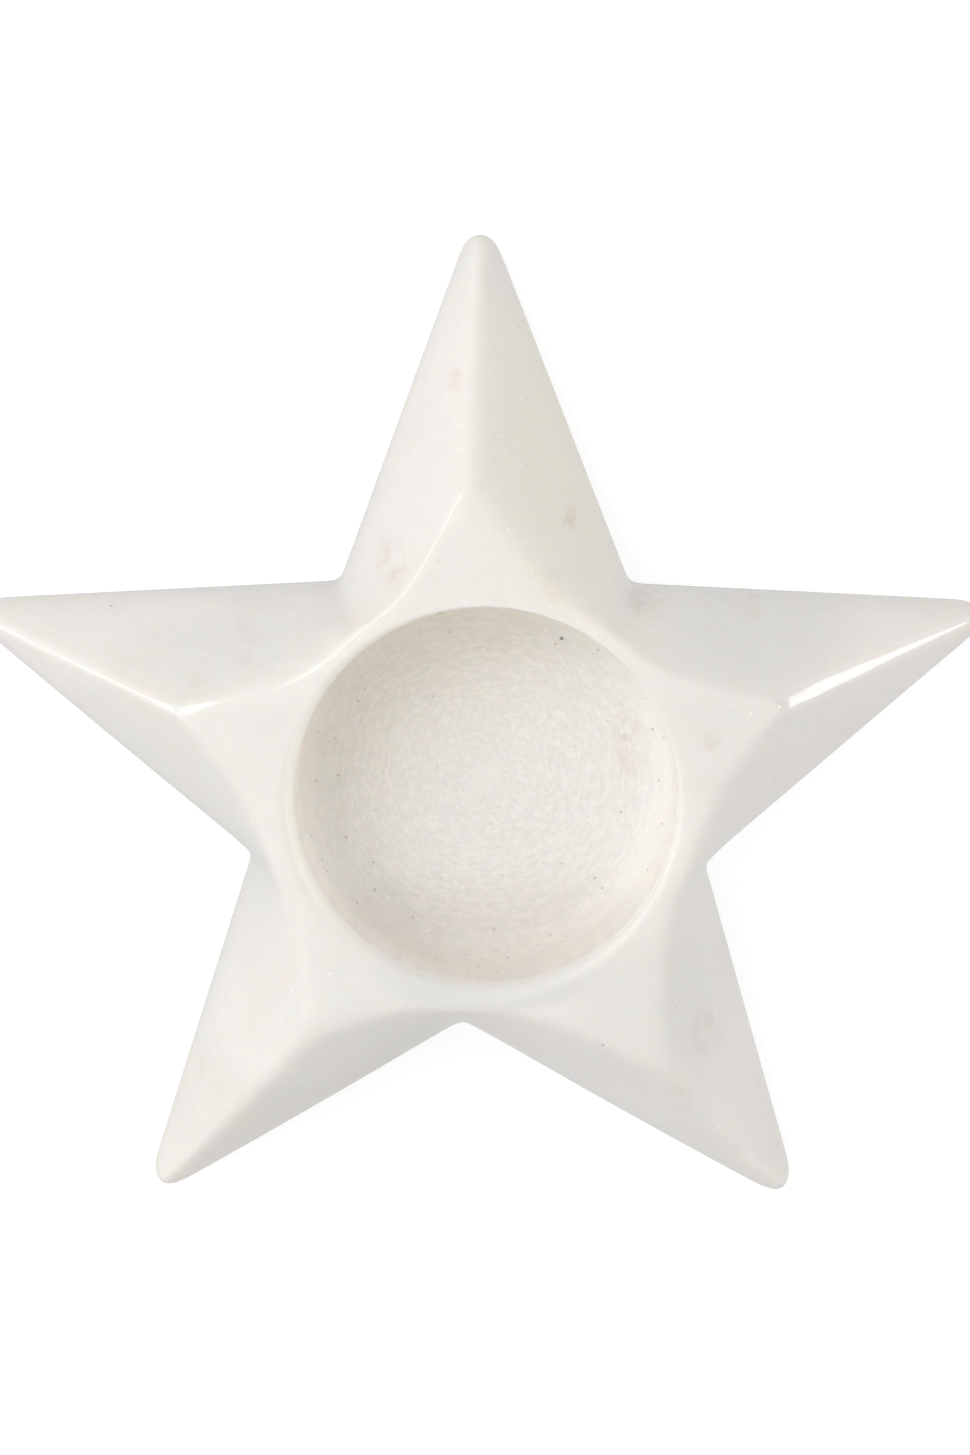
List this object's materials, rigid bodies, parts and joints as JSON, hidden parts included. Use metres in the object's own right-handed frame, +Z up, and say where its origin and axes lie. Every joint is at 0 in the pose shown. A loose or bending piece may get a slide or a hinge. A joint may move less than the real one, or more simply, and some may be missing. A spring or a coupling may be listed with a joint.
{
  "type": "tealight holder",
  "caption": "Star-shaped tealight holder carved from marble, with ridged arms, a flat top around a round milled recess for a tealight, and felt feet stuck underneath.",
  "frame": {"origin": "on the table, at the middle of the star's bounding box seen from above", "axes": "+Z up, out of the recess's mouth; +Y along the first arm; +X to the right of it"},
  "size_m": [0.1192, 0.115, 0.025],
  "materials": {
    "marble": "polished warm white marble, with a matte milled recess and a honed underside",
    "felt": "dense pressed off-white felt",
    "adhesive": "thin translucent pressure-sensitive adhesive"
  },
  "bodies": {
    "root": {"star_body": "marble", "felt_foot_1": "felt", "felt_foot_2": "felt", "felt_foot_3": "felt", "felt_foot_4": "felt", "felt_foot_5": "felt", "adhesive_film_1": "adhesive", "adhesive_film_2": "adhesive", "adhesive_film_3": "adhesive", "adhesive_film_4": "adhesive", "adhesive_film_5": "adhesive"}
  },
  "joints": []
}
